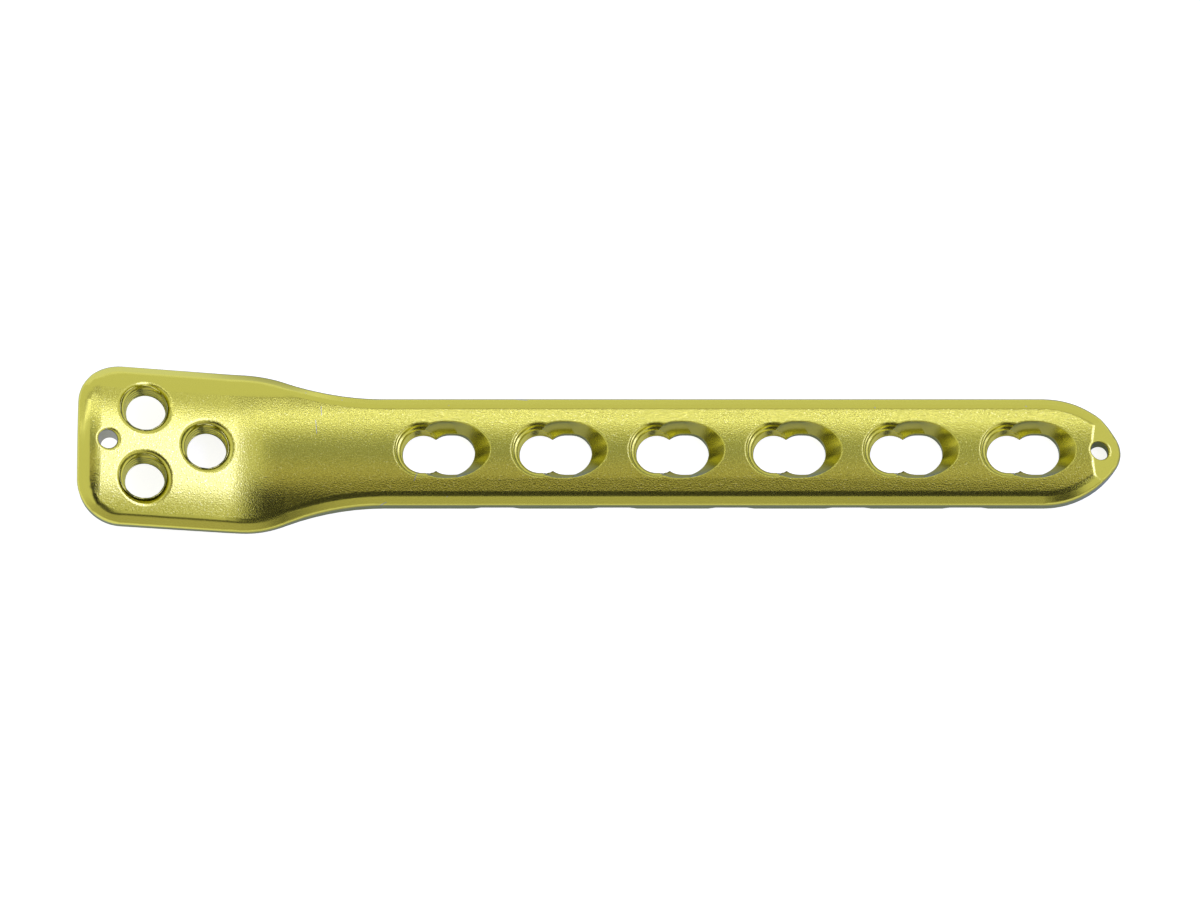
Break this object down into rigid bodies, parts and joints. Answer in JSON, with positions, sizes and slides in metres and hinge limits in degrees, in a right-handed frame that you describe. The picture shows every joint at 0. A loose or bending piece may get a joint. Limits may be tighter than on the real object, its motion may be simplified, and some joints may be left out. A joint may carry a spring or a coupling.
{
  "type": "orthopedic bone plate",
  "caption": "Straight bone plate with a bent-up, wider head, round threaded holes, two-lobed combination holes along the shaft, wire holes and a tapered tip.",
  "frame": {"origin": "axis of the threaded lobe of the combination hole nearest the head, on the flat underside of the shaft", "axes": "+X along the shaft to the tapered tip, +Y across the plate, +Z out of the top, away from the bone"},
  "size_m": [0.16, 0.025, 0.0125],
  "materials": {
    "titanium": "anodised gold, satin top with smooth bevels"
  },
  "bodies": {
    "root": {"bone_plate": "titanium"}
  },
  "joints": []
}
